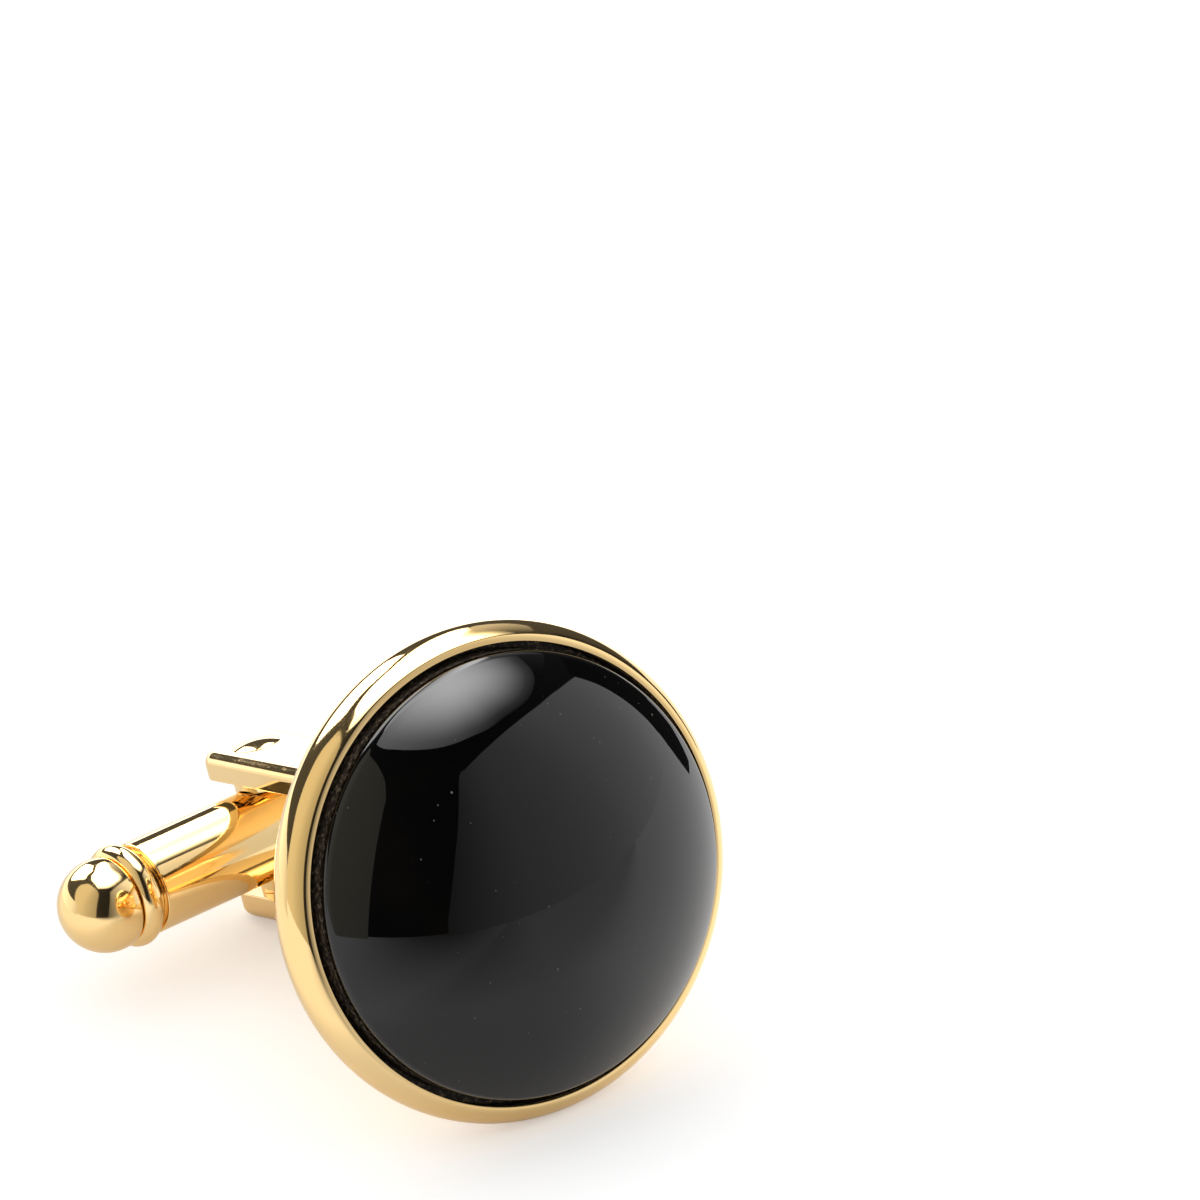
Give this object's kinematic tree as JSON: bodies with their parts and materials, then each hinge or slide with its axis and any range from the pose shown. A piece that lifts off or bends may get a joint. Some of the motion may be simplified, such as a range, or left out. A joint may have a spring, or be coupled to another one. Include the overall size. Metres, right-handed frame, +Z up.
{
  "type": "swivel back cufflink",
  "caption": "Round gold-plated cufflink with a domed black stone, a forked post and a bullet-shaped toggle that swivels on a pin to hold a shirt cuff closed.",
  "frame": {"origin": "on the table the cufflink rests on, below the middle of its box", "axes": "+Z up; the stone faces -Y and leans back, the post runs towards +Y and down, the toggle lies nearly along X"},
  "size_m": [0.0198, 0.0238, 0.0172],
  "materials": {
    "gold_plate": "polished gold plate on brass",
    "onyx": "glass-like polish",
    "cement": "cured resin",
    "spring_steel": "bright"
  },
  "bodies": {
    "front": {"bezel": "gold_plate", "back_plate": "gold_plate", "stone_cement": "cement", "onyx_cabochon": "onyx", "yoke": "gold_plate", "pivot_pin": "gold_plate", "washer_upper": "gold_plate", "washer_lower": "gold_plate"},
    "toggle": {"toggle_barrel": "gold_plate", "end_cap_left": "gold_plate", "end_cap_right": "gold_plate", "detent_ball": "spring_steel", "detent_spring": "spring_steel"}
  },
  "joints": [
    {"name": "toggle_swivel", "type": "hinge", "parent": "front", "child": "toggle", "pos_m": [0, 0.00903, 0.00355], "axis": [0, 0.3109, 0.9504], "range_deg": [-98, 82]}
  ]
}
